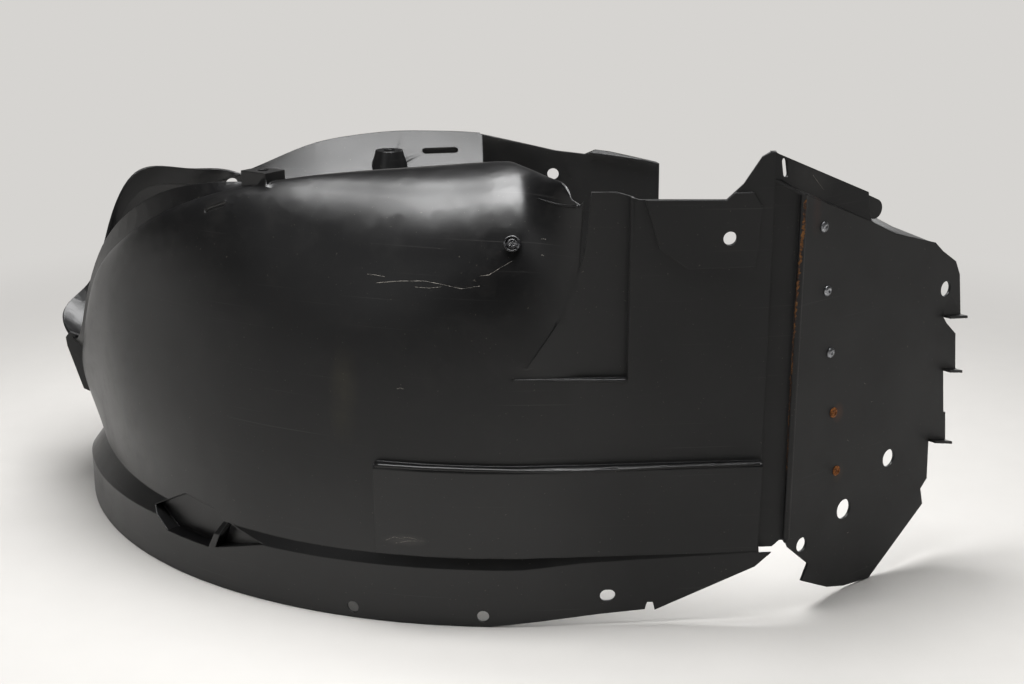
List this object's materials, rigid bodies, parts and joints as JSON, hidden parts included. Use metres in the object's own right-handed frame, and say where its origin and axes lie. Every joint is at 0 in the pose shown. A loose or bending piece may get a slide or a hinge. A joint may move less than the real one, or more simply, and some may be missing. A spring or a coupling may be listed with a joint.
{
  "type": "car mudguard",
  "caption": "Moulded wheel-arch mudguard: a thin C-shaped shell with a lip flange, a dished shoulder, a notch for the strut and a folded end plate with holes.",
  "frame": {"origin": "middle of the part's bounding box, on the floor that its outboard lip lies on", "axes": "+X along the near leg towards the end plate, +Y from the near leg to the far leg, +Z from the outboard lip up to the inboard side"},
  "size_m": [0.9448, 0.6205, 0.43],
  "materials": {
    "black_plastic": "satin moulded",
    "strip_steel": "dull plated",
    "rivet_steel": "worn",
    "rusted_steel": "rusted",
    "plug_plastic": "satin"
  },
  "bodies": {
    "root": {"liner_shell": "black_plastic", "backing_strip": "strip_steel", "plate_rivets": "rivet_steel", "rusted_rivets": "rusted_steel", "push_plug": "plug_plastic"}
  },
  "joints": []
}
